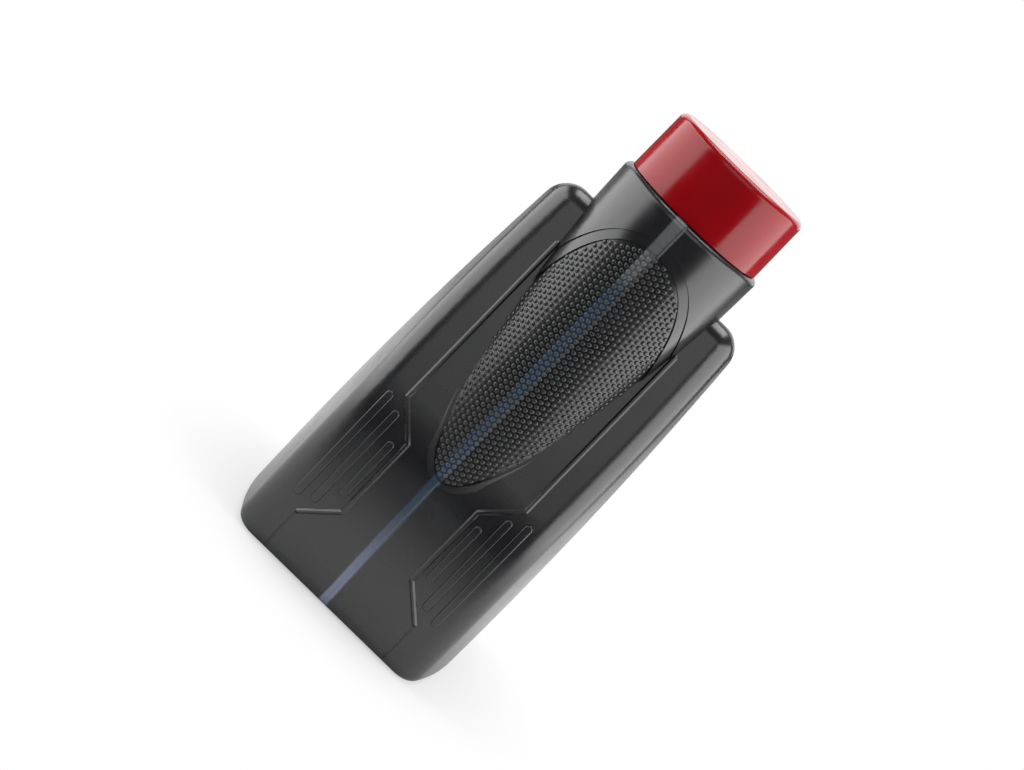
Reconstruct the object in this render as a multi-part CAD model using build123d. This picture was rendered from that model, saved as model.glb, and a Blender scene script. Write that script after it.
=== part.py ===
"""One-litre motor oil bottle, in millimetres.

A blow-moulded bottle stands on its base. A round grip column runs up its front,
from a dotted oval grip panel to a collar, and a screw cap closes the neck that
stands on the collar's ledge. The front face leans back above its lower third,
so the column stands further out of the body the higher it goes.

Frame: +Z up, -Y is the front (the grip side), +X is to the right of someone who
faces the front. The origin is the middle of the bottle's footprint, on the floor.
"""

import os
from math import atan2, cos, degrees, hypot, radians, sin, sqrt, tan

from build123d import *

# ---------------------------------------------------------------- body
body_width = 88.8  # across X at the widest height
body_depth = 102.0  # from the column's front line to the rear face, at the floor
front_setback = 1.5  # the lower front face lies this far behind the column's front line
widest_z = 25.0
side_rise_radius = 1450.0  # the sides draw in towards the shoulder on this radius
side_bow_radius = 176.0  # the sides bow outwards in plan on this radius
lean_start_z = 50.0
front_lean = 12.1  # degrees that the upper front face leans back
lean_blend_radius = 90.0
shoulder_front_z = 143.0
shoulder_rear_z = 122.0
shoulder_crown = 2.0  # height of the shoulder's bow over its chord
rear_draw = 3.5  # the rear face's top lies this far in front of its foot
front_corner_radius = 8.5
rear_corner_radius = 16.0
shoulder_radius = 7.5
base_radius = 4.0
wall = 1.2
push_up_depth = 2.6  # the hollow under the base
foot_width = 9.0  # width of the ring that the bottle stands on
push_up_draft = 1.5  # the hollow's top is this much smaller all round than its mouth

# ---------------------------------------------------------------- grip column
column_radius_top = 27.5
column_radius_foot = 24.4
column_foot_z = 54.0
column_tip_radius = 10.2  # the column's rounded lower end
collar_z = 164.2  # the ledge on top of the column
collar_edge_radius = 2.0

# ---------------------------------------------------------------- oval grip panel
oval_widest_z = 112.0
oval_half_width = 22.9
oval_top_z = 151.5
oval_tip_z = 55.3
oval_depth = 0.8
border_width = 3.0  # the shallow step round the panel's upper half
border_depth = 0.35

# ---------------------------------------------------------------- relief on the front
relief_height = 0.8
rib_width = 1.8
rib_bevel = 0.6
bar_rounding = 0.6
rib_outer_x = 25.2
rib_inner_x = 15.0
rib_z = (131.0, 67.0, 56.6, 26.6, 17.0)  # the rib's corners, from the top down
bar_width = 2.8
bars = ((29.6, 20.6, 65.0), (24.1, 22.4, 62.0), (18.7, 30.0, 54.0))  # x, low z, high z

# ---------------------------------------------------------------- neck
neck_radius = 19.6
neck_bore_radius = 17.4
neck_rim_z = 184.0
thread_pitch = 4.0
thread_turns = 1.5
thread_start_z = 172.0
thread_height = 1.2
thread_base = 2.0
thread_crest = 0.9
thread_root = 0.3  # how deep a thread is rooted in its wall

# ---------------------------------------------------------------- cap
cap_radius = 25.3
cap_foot_radius = 25.6
cap_wall = 1.3
cap_roof = 1.6
cap_edge_radius = 2.2
cap_gap = 0.3  # between the cap's foot and the collar's ledge
liner_thickness = 1.0
liner_fit = 0.1  # between the liner and the threaded skirt
skirt_clearance = 0.5  # between the threaded skirt and the neck's thread
skirt_wall = 1.2
skirt_rise = 2.0  # the skirt's foot above the cap's foot
web_count = 12
web_thickness = 0.9

# ---------------------------------------------------------------- worked-out places
front_y = -body_depth / 2
face_y = front_y + front_setback
rear_y = body_depth / 2
neck_y = front_y + column_radius_top
skirt_bore_radius = neck_radius + thread_height + skirt_clearance
liner_radius = skirt_bore_radius - liner_fit
cap_foot_z = collar_z + cap_gap
cap_roof_z = neck_rim_z + liner_thickness
cap_top_z = cap_roof_z + cap_roof
span = body_width + body_depth  # longer than the bottle is, any way


def column_radius(z):
    share = (z - column_foot_z) / (collar_z - column_foot_z)
    return column_radius_foot + share * (column_radius_top - column_radius_foot)


def face_at(z, inset=0.0):
    """Depth of the front face at height z: upright, a blend, then leaning back."""
    lean = radians(front_lean)
    blend = lean_blend_radius - inset
    blend_end = lean_start_z + blend * sin(lean)
    if z <= lean_start_z:
        return face_y + inset
    if z < blend_end:
        return face_y + inset + blend - sqrt(blend**2 - (z - lean_start_z) ** 2)
    return face_y + inset + blend * (1 - cos(lean)) + (z - blend_end) * tan(lean)


def rear_at(z):
    """Depth of the rear face at height z, furthest back where the base's rounding ends."""
    return rear_y - rear_draw * (z - base_radius) / (shoulder_rear_z - base_radius)


def side_slab(inset):
    """The body as seen from the side, run right across, still without its shoulder."""
    lean = radians(front_lean)
    low, high = -base_radius - 10, shoulder_front_z + 30
    blend_z = [lean_start_z + (lean_blend_radius - inset) * sin(lean * share) for share in (0, 0.5, 1)]
    blend = [(face_at(z, inset), z) for z in blend_z]
    corners = [(face_at(low, inset), low), (face_at(high, inset), high)]
    rear = [(rear_at(high) - inset, high), (rear_at(low) - inset, low)]
    outline = make_face(
        [
            Line(corners[0], blend[0]),
            ThreePointArc(*blend),
            Line(blend[2], corners[1]),
            Line(corners[1], rear[0]),
            Line(rear[0], rear[1]),
            Line(rear[1], corners[0]),
        ]
    )
    return extrude(Plane.YZ * outline, body_width, both=True)


def side_wall(inset):
    """A block whose +X face is the body's side: bowed in plan, drawn in towards the top."""
    half = body_width / 2 - inset
    bow = side_bow_radius - inset
    rise = side_rise_radius - inset
    reach = 0.8 * body_depth
    end_x = half - bow + sqrt(bow**2 - reach**2)
    plan = make_face(
        [
            ThreePointArc((end_x, -reach), (half, 0), (end_x, reach)),
            Polyline((end_x, reach), (-body_width, reach), (-body_width, -reach), (end_x, -reach)),
        ]
    )
    axis = Axis((half - rise, 0, widest_z), (0, -1, 0))
    below = degrees((widest_z + base_radius + 12) / rise)
    above = degrees((shoulder_front_z + 20) / rise)
    return revolve((Pos(0, 0, widest_z) * plan).rotate(axis, -below), axis, below + above)


def upright_edges(solid, front):
    """The solid's upright corner edges, at the front or at the rear."""
    edges = [
        edge
        for edge in solid.edges()
        if abs((edge @ 0 - edge @ 1).Z) > 8
        and abs(edge.center().X) > body_width / 4
        and (edge.center().Y < 0) == front
    ]
    if front:
        return edges
    return sorted(edges, key=lambda edge: -edge.center().Y)[:2]


def foot_outline(inset):
    """The body's outline on the floor, drawn in by inset all round."""
    half = body_width / 2 - inset
    bow = side_bow_radius - inset
    front, rear = face_y + inset, rear_y - inset
    front_x = half - bow + sqrt(bow**2 - front**2)
    rear_x = half - bow + sqrt(bow**2 - rear**2)
    outline = make_face(
        [
            ThreePointArc((front_x, front), (half, 0), (rear_x, rear)),
            Line((rear_x, rear), (-rear_x, rear)),
            ThreePointArc((-rear_x, rear), (-half, 0), (-front_x, front)),
            Line((-front_x, front), (front_x, front)),
        ]
    )
    outline = fillet(outline.vertices().filter_by(lambda v: v.Y < 0), max(front_corner_radius - inset, 2))
    rear_corners = outline.vertices().filter_by(lambda v: v.Y > rear - 1)
    return fillet(rear_corners, max(rear_corner_radius - inset, 2))


def shoulder_block(inset):
    """Everything between the floor and the bowed shoulder, drawn in by inset."""
    front = Vector(face_at(shoulder_front_z), shoulder_front_z)
    rear = Vector(rear_at(shoulder_rear_z), shoulder_rear_z)
    chord = rear - front
    up = Vector(-chord.Y, chord.X).normalized()
    start = front - chord * 0.5 - up * inset
    end = rear + chord * 0.5 - up * inset
    crown = (start + end) * 0.5 + up * 4 * shoulder_crown  # the chord is doubled
    top = ThreePointArc((start.X, start.Y), (crown.X, crown.Y), (end.X, end.Y))
    rest = Polyline((end.X, end.Y), (end.X, inset), (start.X, inset), (start.X, start.Y))
    return extrude(Plane.YZ * make_face([top, rest]), body_width, both=True)


def body(inset):
    """The body without its column, drawn in by inset all round."""
    wall_block = side_wall(inset)
    core = side_slab(inset) & wall_block & wall_block.mirror(Plane.YZ)
    core = fillet(upright_edges(core, front=True), front_corner_radius - inset)
    core = fillet(upright_edges(core, front=False), rear_corner_radius - inset)
    core = core & shoulder_block(inset)
    core = fillet(core.faces().sort_by(Axis.Z)[-1].edges(), shoulder_radius - inset)
    return fillet(core.faces().sort_by(Axis.Z)[0].edges(), base_radius - inset)


def column(inset, top_z):
    """The grip column as a cone whose front line is upright."""
    rings = [
        Pos(0, front_y + column_radius(z), z) * Circle(column_radius(z) - inset)
        for z in (column_foot_z, top_z)
    ]
    cone = loft(rings, ruled=True)
    return cone & column_window(inset)


def column_window(inset):
    """Cuts the column's lower end round, as seen from the front."""
    tip = column_tip_radius
    upper = Rectangle(span, span, align=(Align.CENTER, Align.MIN))
    upper = Pos(0, column_foot_z + 0.6 * tip) * upper
    disc = Pos(0, column_foot_z + tip) * Circle(tip - inset)
    return through_front(upper + disc, from_y=rear_y)


def through_front(sketch, from_y=neck_y):
    """A sketch drawn in X and Z, run forwards from the depth from_y."""
    placed = Plane((0, from_y, 0), x_dir=(1, 0, 0), z_dir=(0, -1, 0)) * sketch
    return extrude(placed, span)


def oval(grow=0.0):
    """The grip panel's outline: a full round top over a narrowing lower half."""
    top = oval_top_z + grow
    wide = oval_half_width + grow
    low = oval_tip_z - grow
    rise = top - oval_widest_z
    drop = oval_widest_z - low
    upper = Bezier(
        (0, top), (0.57 * wide, top), (wide, oval_widest_z + 0.7 * rise), (wide, oval_widest_z)
    )
    lower = Bezier(
        (wide, oval_widest_z), (0.95 * wide, oval_widest_z - 0.33 * drop), (0.46 * wide, low), (0, low)
    )
    half = make_face([upper, lower, Line((0, low), (0, top))])
    return half + half.mirror(Plane.YZ)


def oval_recess(depth, outline):
    """The layer that the grip panel takes off the column's surface."""
    rings = [-1.0, depth]
    outer, inner = (
        loft(
            [
                Pos(0, front_y + column_radius(z), z) * Circle(column_radius(z) - ring)
                for z in (column_foot_z - 5, collar_z)
            ],
            ruled=True,
        )
        for ring in rings
    )
    return (outer - inner) & through_front(outline)


def upper_border():
    """The shallow border round the panel's upper half only."""
    keep = Pos(0, oval_widest_z) * Rectangle(span, span, align=(Align.CENTER, Align.MIN))
    return oval(border_width) & keep


def rod(start, end, width):
    """A round-ended strip in X and Z."""
    run = (end[0] - start[0], end[1] - start[1])
    strip = SlotCenterToCenter(hypot(*run), width)
    middle = ((start[0] + end[0]) / 2, (start[1] + end[1]) / 2)
    return Pos(*middle) * Rot(0, 0, degrees(atan2(run[1], run[0]))) * strip


def rib_outline():
    xs = (rib_outer_x, rib_outer_x, rib_inner_x, rib_inner_x, rib_outer_x)
    points = list(zip(xs, rib_z))
    strips = [rod(a, b, rib_width) for a, b in zip(points, points[1:])]
    return sum(strips[1:], strips[0])


def relief():
    """The rib and the three bars on the right half of the front face."""
    skin = body(-relief_height)
    rib = skin & through_front(rib_outline())
    pieces = [chamfer(crest_edges(rib), rib_bevel)]
    for x, low, high in bars:
        half = bar_width / 2
        bar = skin & through_front(rod((x, low + half), (x, high - half), bar_width))
        pieces.append(fillet(crest_edges(bar), bar_rounding))
    return pieces


def crest_edges(piece):
    """The edges round a relief piece's forward face, without the joins across it."""
    crest = [face for face in piece.faces() if face.normal_at().Y < -0.9]
    edges = [edge for face in crest for edge in face.edges()]
    return [edge for edge in edges if sum(edge.is_same(other) for other in edges) == 1]


def helix_ridge(radius, outward, base, crest, height, start_z, turns):
    """A thread ridge on a wall of the given radius, rooted a little in the wall."""
    path = Helix(thread_pitch, turns * thread_pitch, radius)
    sign = 1 if outward else -1
    profile = Polyline(
        (-sign * thread_root, -base / 2),
        (sign * height, -crest / 2),
        (sign * height, crest / 2),
        (-sign * thread_root, base / 2),
        close=True,
    )
    plane = Plane(path @ 0, x_dir=(1, 0, 0), z_dir=path % 0)
    ridge = sweep(plane * make_face(profile), path, is_frenet=True)
    return Pos(0, neck_y, start_z) * ridge


def neck_post(radius, low_z, high_z):
    return Pos(0, neck_y, low_z) * Cylinder(
        radius, high_z - low_z, align=(Align.CENTER, Align.CENTER, Align.MIN)
    )


def push_up(grow):
    """The hollow under the base, or with grow the bottle's floor over it."""
    mouth = foot_outline(foot_width - grow)
    crown = foot_outline(foot_width + push_up_draft - grow)
    return loft([Pos(0, 0, -1) * mouth, Pos(0, 0, push_up_depth + grow) * crown], ruled=True)


def cavity():
    """The room inside the bottle, from its floor to the mouth."""
    inner = body(wall)
    column_room = column(wall + oval_depth, collar_z - wall)
    room = inner + column_room + neck_post(neck_bore_radius, collar_z - 3 * wall, neck_rim_z + 1)
    return room - push_up(wall)


def make_bottle():
    shell = column(0, collar_z)
    ledge = shell.faces().sort_by(Axis.Z)[-1]
    shell = fillet(ledge.edges(), collar_edge_radius)
    shell = shell - oval_recess(border_depth, upper_border()) - oval_recess(oval_depth, oval())
    shell = body(0) + shell
    for piece in relief():
        shell = shell + piece + piece.mirror(Plane.YZ)
    shell = shell + neck_post(neck_radius, collar_z - 3 * wall, neck_rim_z)
    ridge = helix_ridge(
        neck_radius, True, thread_base, thread_crest, thread_height, thread_start_z, thread_turns
    )
    return shell - cavity() - push_up(0) + ridge


def make_liner():
    return neck_post(liner_radius, neck_rim_z, cap_roof_z)


def make_cap():
    outline = make_face(
        Polyline(
            (0, cap_top_z),
            (cap_radius, cap_top_z),
            (cap_foot_radius, cap_foot_z),
            (cap_foot_radius - cap_wall, cap_foot_z),
            (cap_radius - cap_wall, cap_roof_z),
            (0, cap_roof_z),
            close=True,
        )
    )
    edge = outline.vertices().sort_by(Axis.Y)[-2:].sort_by(Axis.X)[-1]
    outline = fillet(edge, cap_edge_radius)
    shell = Pos(0, neck_y, 0) * revolve(Plane.XZ * outline, Axis.Z)
    foot = cap_foot_z + skirt_rise
    outer = skirt_bore_radius + skirt_wall
    skirt = neck_post(outer, foot, cap_roof_z) - neck_post(skirt_bore_radius, foot - 1, cap_roof_z)
    cap = shell + skirt
    reach = cap_radius - cap_wall / 2
    web = Pos((outer - skirt_wall / 2 + reach) / 2, 0, (foot + 2 + cap_roof_z) / 2) * Box(
        reach - outer + skirt_wall / 2, web_thickness, cap_roof_z - foot - 2
    )
    for turn in range(web_count):
        cap = cap + Pos(0, neck_y, 0) * Rot(0, 0, turn * 360 / web_count) * web
    ridge = helix_ridge(
        skirt_bore_radius, False, thread_base, thread_crest, thread_height,
        thread_start_z + thread_pitch / 2, thread_turns,
    )
    return cap + ridge


def main():
    os.makedirs("parts", exist_ok=True)
    export_step(make_bottle(), "parts/bottle.step")
    export_step(make_liner(), "parts/cap_liner.step")
    export_step(make_cap(), "parts/cap.step")


if __name__ == "__main__":
    main()
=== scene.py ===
"""Studio view of the motor oil bottle: materials, grip dots, lights and camera, in metres.

The CAD nodes keep their shapes. What is added here is the grip panel's dots, which are
moulded on the bottle and ride with it. +Z is up and -Y is the grip side.
"""

from math import cos, pi, radians, sin, sqrt

import bmesh
import bpy
from mathutils import Matrix, Vector
from mathutils.bvhtree import BVHTree


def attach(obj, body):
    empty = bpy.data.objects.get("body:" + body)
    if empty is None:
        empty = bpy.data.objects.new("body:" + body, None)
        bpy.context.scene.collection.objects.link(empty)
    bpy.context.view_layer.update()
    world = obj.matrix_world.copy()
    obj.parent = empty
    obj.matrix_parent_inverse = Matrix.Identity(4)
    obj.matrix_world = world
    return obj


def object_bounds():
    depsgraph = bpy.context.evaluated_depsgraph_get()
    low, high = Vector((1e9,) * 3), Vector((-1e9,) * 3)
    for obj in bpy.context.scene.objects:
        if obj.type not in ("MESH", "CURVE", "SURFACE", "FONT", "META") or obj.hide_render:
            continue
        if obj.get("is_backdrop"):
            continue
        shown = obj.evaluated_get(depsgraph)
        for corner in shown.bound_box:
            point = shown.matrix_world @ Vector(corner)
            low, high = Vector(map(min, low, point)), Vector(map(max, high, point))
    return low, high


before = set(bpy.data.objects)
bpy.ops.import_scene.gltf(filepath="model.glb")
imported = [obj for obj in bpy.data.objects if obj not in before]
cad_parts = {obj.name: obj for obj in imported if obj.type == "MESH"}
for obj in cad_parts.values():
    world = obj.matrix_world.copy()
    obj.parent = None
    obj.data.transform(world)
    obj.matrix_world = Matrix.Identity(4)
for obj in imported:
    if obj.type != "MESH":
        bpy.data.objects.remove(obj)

CAD_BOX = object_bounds()
MM = 0.001

# ---------------------------------------------------------------- sizes the looks need
COLUMN_RADIUS_FOOT = 24.4 * MM  # the grip column is a cone with an upright front line
COLUMN_RADIUS_TOP = 27.5 * MM
COLUMN_FOOT_Z = 54.0 * MM
COLLAR_Z = 164.2 * MM
PANEL_DEPTH = 0.8 * MM

DOT_PITCH_UP = 2.0 * MM
DOT_PITCH_ROUND = 1.74 * MM
DOT_RADIUS = 0.84 * MM
DOT_HEIGHT = 0.46 * MM
DOT_MARGIN = 0.75 * MM  # from a dot's middle to the panel's edge, at least
DOT_SIDES = 12
DOT_RINGS = ((1.0, -0.2), (0.94, 0.34), (0.75, 0.66), (0.42, 0.91))  # shares of radius, height
WIDEST_TURN = 1.4  # radians round the column from its front line

# The level strip's edges in X at three heights, from the foot up.
STRIP_HEIGHTS = (8 * MM, 45 * MM, 110 * MM)
STRIP_LEFT = (-1.7 * MM, -2.5 * MM, -4.4 * MM)
STRIP_RIGHT = (1.2 * MM, 0.7 * MM, -0.5 * MM)
STRIP_BLUR = 0.5 * MM
STRIP_WAVER = 0.25 * MM  # how far the strip's edges wander
OIL_LEVEL_Z = 138 * MM
MOULD_GROOVE_X = 25.4 * MM
MOULD_GROOVE_TOP_Z = 17.0 * MM

# ---------------------------------------------------------------- colours, as linear values
BLACK = ((0.0085, 0.009, 0.0105), (0.0125, 0.013, 0.015))
WORN_FOOT = (0.03, 0.031, 0.033)
STRIP_FOOT = (0.15, 0.18, 0.27)
STRIP_OILY = (0.027, 0.049, 0.08)
STRIP_EMPTY = (0.14, 0.146, 0.152)
RED = ((0.31, 0.0010, 0.0045), (0.37, 0.0018, 0.0068))
FOAM = ((0.76, 0.76, 0.72), (0.84, 0.84, 0.81))
PAPER = (0.85, 0.85, 0.85)
PAINTED_ROOM_SHADE = (0.03, 0.03, 0.03)

# ---------------------------------------------------------------- camera
CAMERA_DISTANCE = 716.6 * MM
CAMERA_PITCH = radians(11.4)  # looking down by this much
CAMERA_ROLL = radians(44.2)  # the bottle's top leans to the right by this much
CAMERA_LENS = 77.35
CAMERA_TARGET = Vector((-4.8 * MM, 0.0, 82.6 * MM))

FOOT_Z = CAD_BOX[0][2]
FRONT_Y = CAD_BOX[0][1]


# ---------------------------------------------------------------- node helpers
class Nodes:
    """Short calls for building one material's nodes."""

    def __init__(self, name, base, roughness):
        self.material = bpy.data.materials.new(name)
        self.material.use_nodes = True
        self.tree = self.material.node_tree
        self.shader = self.tree.nodes["Principled BSDF"]
        self.shader.inputs["Base Color"].default_value = (*base, 1)
        self.shader.inputs["Roughness"].default_value = roughness

    def add(self, kind, **settings):
        node = self.tree.nodes.new(kind)
        for name, value in settings.items():
            setattr(node, name, value)
        return node

    def link(self, source, target):
        self.tree.links.new(source, target)

    def feed(self, socket, value):
        if isinstance(value, bpy.types.NodeSocket):
            self.link(value, socket)
        else:
            socket.default_value = value

    def math(self, operation, a, b=0.0, clamp=False):
        node = self.add("ShaderNodeMath", operation=operation, use_clamp=clamp)
        self.feed(node.inputs[0], a)
        self.feed(node.inputs[1], b)
        return node.outputs[0]

    def ramp(self, value, start, end, low=0.0, high=1.0, smooth=True):
        """value from start to end becomes low to high, and stays there beyond."""
        kind = "SMOOTHSTEP" if smooth else "LINEAR"
        node = self.add("ShaderNodeMapRange", interpolation_type=kind)
        sockets = ("From Min", "From Max", "To Min", "To Max")
        for socket, number in zip(sockets, (start, end, low, high)):
            node.inputs[socket].default_value = number
        self.link(value, node.inputs["Value"])
        return node.outputs["Result"]

    def axes(self):
        """The place in the object's own frame, in metres, and its X, Y and Z."""
        place = self.add("ShaderNodeTexCoord").outputs["Object"]
        split = self.add("ShaderNodeSeparateXYZ")
        self.link(place, split.inputs[0])
        return place, split.outputs["X"], split.outputs["Y"], split.outputs["Z"]

    def noise(self, place, scale, detail=2.0, roughness=0.5, stretch=(1, 1, 1)):
        mapping = self.add("ShaderNodeMapping")
        mapping.inputs["Scale"].default_value = stretch
        self.link(place, mapping.inputs["Vector"])
        node = self.add("ShaderNodeTexNoise")
        node.inputs["Scale"].default_value = scale
        node.inputs["Detail"].default_value = detail
        node.inputs["Roughness"].default_value = roughness
        self.link(mapping.outputs["Vector"], node.inputs["Vector"])
        return node.outputs["Fac"]

    def mix(self, factor, a, b):
        node = self.add("ShaderNodeMix", data_type="RGBA")
        self.link(factor, node.inputs["Factor"])
        for socket, value in ((node.inputs["A"], a), (node.inputs["B"], b)):
            self.feed(socket, value if isinstance(value, bpy.types.NodeSocket) else (*value, 1))
        return node.outputs["Result"]

    def bump(self, layers):
        """Stacks (height, distance in metres, strength) layers and feeds the shader's normal."""
        normal = None
        for height, distance, strength in layers:
            node = self.add("ShaderNodeBump")
            node.inputs["Distance"].default_value = distance
            node.inputs["Strength"].default_value = strength
            self.link(height, node.inputs["Height"])
            if normal is not None:
                self.link(normal, node.inputs["Normal"])
            normal = node.outputs["Normal"]
        self.link(normal, self.shader.inputs["Normal"])


# ---------------------------------------------------------------- materials
def strip_edge(nodes, z, xs):
    """An edge of the level strip: its X at this height, along two straight runs."""
    lower = nodes.ramp(z, STRIP_HEIGHTS[0], STRIP_HEIGHTS[1], xs[0], xs[1], smooth=False)
    upper = nodes.ramp(z, STRIP_HEIGHTS[1], STRIP_HEIGHTS[2], 0.0, xs[2] - xs[1], smooth=False)
    return nodes.math("ADD", lower, upper)


def bottle_plastic():
    nodes = Nodes("bottle_plastic", BLACK[0], 0.26)
    shader = nodes.shader
    place, x, y, z = nodes.axes()
    cloud = nodes.noise(place, 55, detail=3)
    grain = nodes.noise(place, 2600, detail=1)
    waver = nodes.noise(place, 160, detail=2, stretch=(1, 1, 0.15))

    wobble = nodes.ramp(waver, 0.3, 0.7, -STRIP_WAVER, STRIP_WAVER)
    edge_x = nodes.math("ADD", x, wobble)
    past_left = nodes.math("SUBTRACT", edge_x, strip_edge(nodes, z, STRIP_LEFT))
    past_right = nodes.math("SUBTRACT", strip_edge(nodes, z, STRIP_RIGHT), edge_x)
    inside = nodes.math(
        "MULTIPLY",
        nodes.ramp(past_left, -STRIP_BLUR, STRIP_BLUR),
        nodes.ramp(past_right, -STRIP_BLUR, STRIP_BLUR),
    )
    front = nodes.ramp(y, -15 * MM, -20 * MM)
    strip = nodes.math("MULTIPLY", inside, front)

    near_foot = nodes.ramp(z, 3.5 * MM, 0.5 * MM)
    foot_wear = nodes.math("MULTIPLY", near_foot, nodes.ramp(nodes.noise(place, 420), 0.45, 0.7))
    black = nodes.mix(foot_wear, nodes.mix(cloud, *BLACK), WORN_FOOT)
    oily = nodes.mix(nodes.ramp(z, 5 * MM, 42 * MM), STRIP_FOOT, STRIP_OILY)
    above_oil = nodes.ramp(z, OIL_LEVEL_Z - 4 * MM, OIL_LEVEL_Z + 6 * MM)
    strip_colour = nodes.mix(above_oil, oily, STRIP_EMPTY)
    nodes.link(nodes.mix(strip, black, strip_colour), shader.inputs["Base Color"])

    sheen_spots = nodes.math("MULTIPLY", nodes.ramp(cloud, 0.3, 0.7), 0.05)
    rough = nodes.math("ADD", sheen_spots, 0.24)
    rough = nodes.math("ADD", rough, nodes.math("MULTIPLY", foot_wear, 0.2))
    nodes.link(rough, shader.inputs["Roughness"])
    shader.inputs["Specular IOR Level"].default_value = 0.78
    shader.inputs["IOR"].default_value = 1.52

    # The mould's parting line up the middle, and the line that runs from the rib to the foot.
    off_seam = nodes.math("ABSOLUTE", nodes.math("ADD", x, nodes.math("MULTIPLY", wobble, 0.2)))
    seam_line = nodes.ramp(off_seam, 0.28 * MM, 0.05 * MM)
    seam = nodes.math("MULTIPLY", seam_line, nodes.ramp(y, -14 * MM, -18 * MM))
    from_middle = nodes.math("ABSOLUTE", x)
    off_groove = nodes.math("ABSOLUTE", nodes.math("SUBTRACT", from_middle, MOULD_GROOVE_X))
    groove_line = nodes.ramp(off_groove, 0.45 * MM, 0.05 * MM)
    below_rib = nodes.ramp(z, MOULD_GROOVE_TOP_Z, MOULD_GROOVE_TOP_Z - 1 * MM)
    groove = nodes.math("MULTIPLY", groove_line, below_rib)
    groove = nodes.math("MULTIPLY", groove, nodes.ramp(y, -30 * MM, -34 * MM))
    both = nodes.math("ADD", seam, nodes.math("MULTIPLY", groove, 2.5))
    lines = nodes.math("MULTIPLY", both, -1.0)
    nodes.bump(
        [
            (nodes.noise(place, 24, detail=1), 0.35 * MM, 0.35),
            (lines, 0.14 * MM, 1.0),
            (grain, 0.02 * MM, 0.3),
        ]
    )
    return nodes.material


def cap_plastic():
    nodes = Nodes("cap_plastic", RED[0], 0.16)
    shader = nodes.shader
    place, *_ = nodes.axes()
    cloud = nodes.noise(place, 90, detail=3)
    nodes.link(nodes.mix(cloud, *RED), shader.inputs["Base Color"])
    nodes.link(nodes.ramp(cloud, 0.3, 0.7, 0.13, 0.2), shader.inputs["Roughness"])
    shader.inputs["Specular IOR Level"].default_value = 0.44
    shader.inputs["IOR"].default_value = 1.49
    nodes.bump(
        [
            (nodes.noise(place, 45, detail=1), 0.2 * MM, 0.25),
            (nodes.noise(place, 3000), 0.01 * MM, 0.2),
        ]
    )
    return nodes.material


def liner_foam():
    nodes = Nodes("liner_foam", FOAM[0], 0.7)
    place, *_ = nodes.axes()
    cells = nodes.add("ShaderNodeTexVoronoi")
    cells.inputs["Scale"].default_value = 2200
    nodes.link(place, cells.inputs["Vector"])
    foam = nodes.mix(nodes.noise(place, 300), *FOAM)
    nodes.link(foam, nodes.shader.inputs["Base Color"])
    nodes.bump([(cells.outputs["Distance"], 0.06 * MM, 0.5)])
    return nodes.material


def paint(obj, material):
    """Puts the material in each of the object's slots, or in a new one if it has none."""
    slots = obj.data.materials
    if not slots:
        slots.append(material)
    for index in range(len(slots)):
        slots[index] = material


# ---------------------------------------------------------------- grip dots
def column_radius(z):
    share = (z - COLUMN_FOOT_Z) / (COLLAR_Z - COLUMN_FOOT_Z)
    return COLUMN_RADIUS_FOOT + share * (COLUMN_RADIUS_TOP - COLUMN_RADIUS_FOOT)


def front_point(skin, x, z):
    """Where a straight look from the front meets the bottle, or None."""
    return skin.ray_cast(Vector((x, FRONT_Y - 50 * MM, z)), Vector((0, 1, 0)))[0]


def on_panel(skin, x, z):
    """True where the bottle lies a panel's depth under the column's full surface."""
    radius = column_radius(z)
    if abs(x) >= radius:
        return False
    place = front_point(skin, x, z)
    if place is None:
        return False
    depth = radius - sqrt(x**2 + (place.y - FRONT_Y - radius) ** 2)
    return 0.7 * PANEL_DEPTH < depth < 1.5 * PANEL_DEPTH


def dot_centres(skin):
    """The panel's dots: upright rows, every other one half a pitch up."""
    rows = int(pi * COLUMN_RADIUS_TOP / DOT_PITCH_ROUND)
    for row in range(-rows // 2, rows // 2 + 1):
        z = COLUMN_FOOT_Z + (DOT_PITCH_UP / 2 if row % 2 else 0)
        while z < COLLAR_Z:
            turn = row * DOT_PITCH_ROUND / column_radius(z)
            x = column_radius(z) * sin(min(max(turn, -WIDEST_TURN), WIDEST_TURN))
            beside = [(x + DOT_MARGIN, z), (x - DOT_MARGIN, z)]
            above_and_below = [(x, z + DOT_MARGIN), (x, z - DOT_MARGIN)]
            if all(on_panel(skin, *place) for place in above_and_below + beside):
                yield x, z
            z += DOT_PITCH_UP


def add_dome(mesh, place, out):
    """One closed dome at this place, which stands along the way out."""
    across = Vector((0, 0, 1)).cross(out)
    up = out.cross(across)
    loops = []
    for wide, tall in DOT_RINGS:
        loop = []
        for k in range(DOT_SIDES):
            turn = 2 * pi * k / DOT_SIDES
            aside = (across * cos(turn) + up * sin(turn)) * DOT_RADIUS * wide
            loop.append(mesh.verts.new(place + out * DOT_HEIGHT * tall + aside))
        loops.append(loop)
    top = mesh.verts.new(place + out * DOT_HEIGHT)
    for k in range(DOT_SIDES):
        after = (k + 1) % DOT_SIDES
        for a, b in zip(loops, loops[1:]):
            mesh.faces.new((a[k], a[after], b[after], b[k]))
        mesh.faces.new((loops[-1][k], loops[-1][after], top))
    mesh.faces.new(loops[0][::-1])


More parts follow.
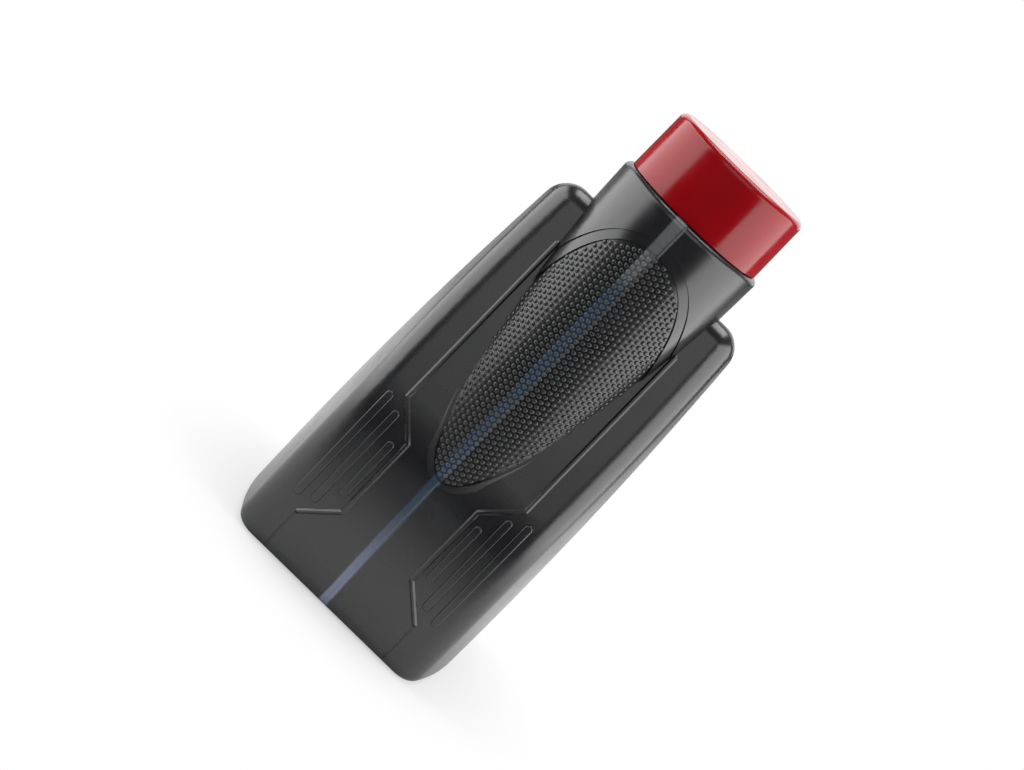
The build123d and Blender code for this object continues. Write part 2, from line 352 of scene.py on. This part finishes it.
def grip_dots(bottle):
    """Low round domes on the grip panel, sunk a little into it."""
    skin = BVHTree.FromObject(bottle, bpy.context.evaluated_depsgraph_get())
    mesh = bmesh.new()
    for x, z in dot_centres(skin):
        place = front_point(skin, x, z)
        out = Vector((x, place.y - FRONT_Y - column_radius(z), 0)).normalized()
        add_dome(mesh, place, out)
    bmesh.ops.recalc_face_normals(mesh, faces=mesh.faces)
    for face in mesh.faces:
        face.smooth = True
    data = bpy.data.meshes.new("grip_dots")
    mesh.to_mesh(data)
    mesh.free()
    dots = bpy.data.objects.new("grip_dots", data)
    bpy.context.scene.collection.objects.link(dots)
    return dots


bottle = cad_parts["bottle"]
plastic = bottle_plastic()
paint(bottle, plastic)
paint(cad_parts["cap"], cap_plastic())
paint(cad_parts["cap_liner"], liner_foam())
dots = grip_dots(bottle)
paint(dots, plastic)
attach(dots, "bottle")


# ---------------------------------------------------------------- stage
def pale_floor():
    """A pale floor that keeps the bottle's shadow near it and is plain white to the camera
    further out. In front of the bottle its colour is painted shade, dark like an unlit room,
    which the bottle's reflections show."""
    bpy.ops.mesh.primitive_plane_add(size=6, location=(0, 0, FOOT_Z))
    floor = bpy.context.object
    floor.name = "floor"
    nodes = Nodes("floor_paper_and_painted_shade", PAPER, 0.9)
    nodes.shader.inputs["Specular IOR Level"].default_value = 0.0
    _, x, y, _ = nodes.axes()
    squares = [nodes.math("POWER", axis, 2.0) for axis in (x, y)]
    distance = nodes.math("SQRT", nodes.math("ADD", *squares))
    # painted shade: in front of the bottle the floor's colour goes dark, standing in for an unlit
    # room in the bottle's reflections
    paper_then_painted_shade = nodes.mix(nodes.ramp(y, -0.155, -0.2), PAPER, PAINTED_ROOM_SHADE)
    nodes.link(paper_then_painted_shade, nodes.shader.inputs["Base Color"])
    path = nodes.add("ShaderNodeLightPath")
    seen = nodes.math("MAXIMUM", path.outputs["Is Camera Ray"], path.outputs["Is Transmission Ray"])
    white = nodes.add("ShaderNodeEmission")
    blend = nodes.add("ShaderNodeMixShader")
    whiteness = nodes.ramp(distance, 0.045, 0.1, 0.5, 1.0)
    nodes.link(nodes.math("MULTIPLY", whiteness, seen), blend.inputs[0])
    nodes.link(nodes.shader.outputs[0], blend.inputs[1])
    nodes.link(white.outputs[0], blend.inputs[2])
    nodes.link(blend.outputs[0], nodes.tree.nodes["Material Output"].inputs["Surface"])
    paint(floor, nodes.material)
    floor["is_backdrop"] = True


def soft_box(name, place, aim, size, power):
    """A flat lamp that faces the aim and isn't seen by the camera."""
    data = bpy.data.lights.new(name, "AREA")
    data.shape = "RECTANGLE"
    data.size, data.size_y = size
    data.energy = power
    lamp = bpy.data.objects.new(name, data)
    lamp.visible_camera = False
    turn = (Vector(aim) - Vector(place)).to_track_quat("-Z", "Y").to_matrix().to_4x4()
    lamp.matrix_world = Matrix.Translation(place) @ turn
    bpy.context.scene.collection.objects.link(lamp)
    return lamp


def studio_world():
    """White to the camera and in glass, dim grey to everything else."""
    world = bpy.data.worlds.new("studio")
    bpy.context.scene.world = world
    world.use_nodes = True
    tree = world.node_tree
    back = tree.nodes["Background"]
    path = tree.nodes.new("ShaderNodeLightPath")
    seen = tree.nodes.new("ShaderNodeMath")
    seen.operation = "MAXIMUM"
    tree.links.new(path.outputs["Is Camera Ray"], seen.inputs[0])
    tree.links.new(path.outputs["Is Transmission Ray"], seen.inputs[1])
    strength = tree.nodes.new("ShaderNodeMapRange")
    strength.inputs["To Min"].default_value = 0.12
    strength.inputs["To Max"].default_value = 1.0
    tree.links.new(seen.outputs[0], strength.inputs["Value"])
    tree.links.new(strength.outputs["Result"], back.inputs["Strength"])
    back.inputs["Color"].default_value = (1, 1, 1, 1)


pale_floor()
studio_world()
middle = Vector((0, 0, 0.09))
soft_box("left_box", (-0.4, 0.0, 0.17), middle, (0.6, 0.48), 2.4)
soft_box("right_box", (0.4, -0.06, 0.17), middle, (0.6, 0.48), 2.4)
soft_box("top_box", (0, 0.12, 0.8), middle, (0.6, 0.5), 4)
soft_box("front_box", (0, -1.3, 0.72), middle, (1.4, 0.85), 3.2)
soft_box("back_box", (0, 1.2, 0.55), middle, (1.6, 0.8), 4.5)


# ---------------------------------------------------------------- camera
def photo_camera():
    """The camera, which looks down at the bottle's front and is rolled about its line of sight."""
    data = bpy.data.cameras.new("camera")
    data.lens = CAMERA_LENS
    camera = bpy.data.objects.new("camera", data)
    away = Vector((0, -cos(CAMERA_PITCH), sin(CAMERA_PITCH)))
    place = CAMERA_TARGET + away * CAMERA_DISTANCE
    level = (-away).to_track_quat("-Z", "Y").to_matrix().to_4x4()
    camera.matrix_world = Matrix.Translation(place) @ level @ Matrix.Rotation(CAMERA_ROLL, 4, "Z")
    data.clip_start = 0.01
    bpy.context.scene.collection.objects.link(camera)
    bpy.context.scene.camera = camera


photo_camera()
bpy.context.scene.view_settings.view_transform = "Standard"

boxes = {"cad": CAD_BOX, "visual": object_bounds()}
{name: [list(corner) for corner in box] for name, box in boxes.items()}
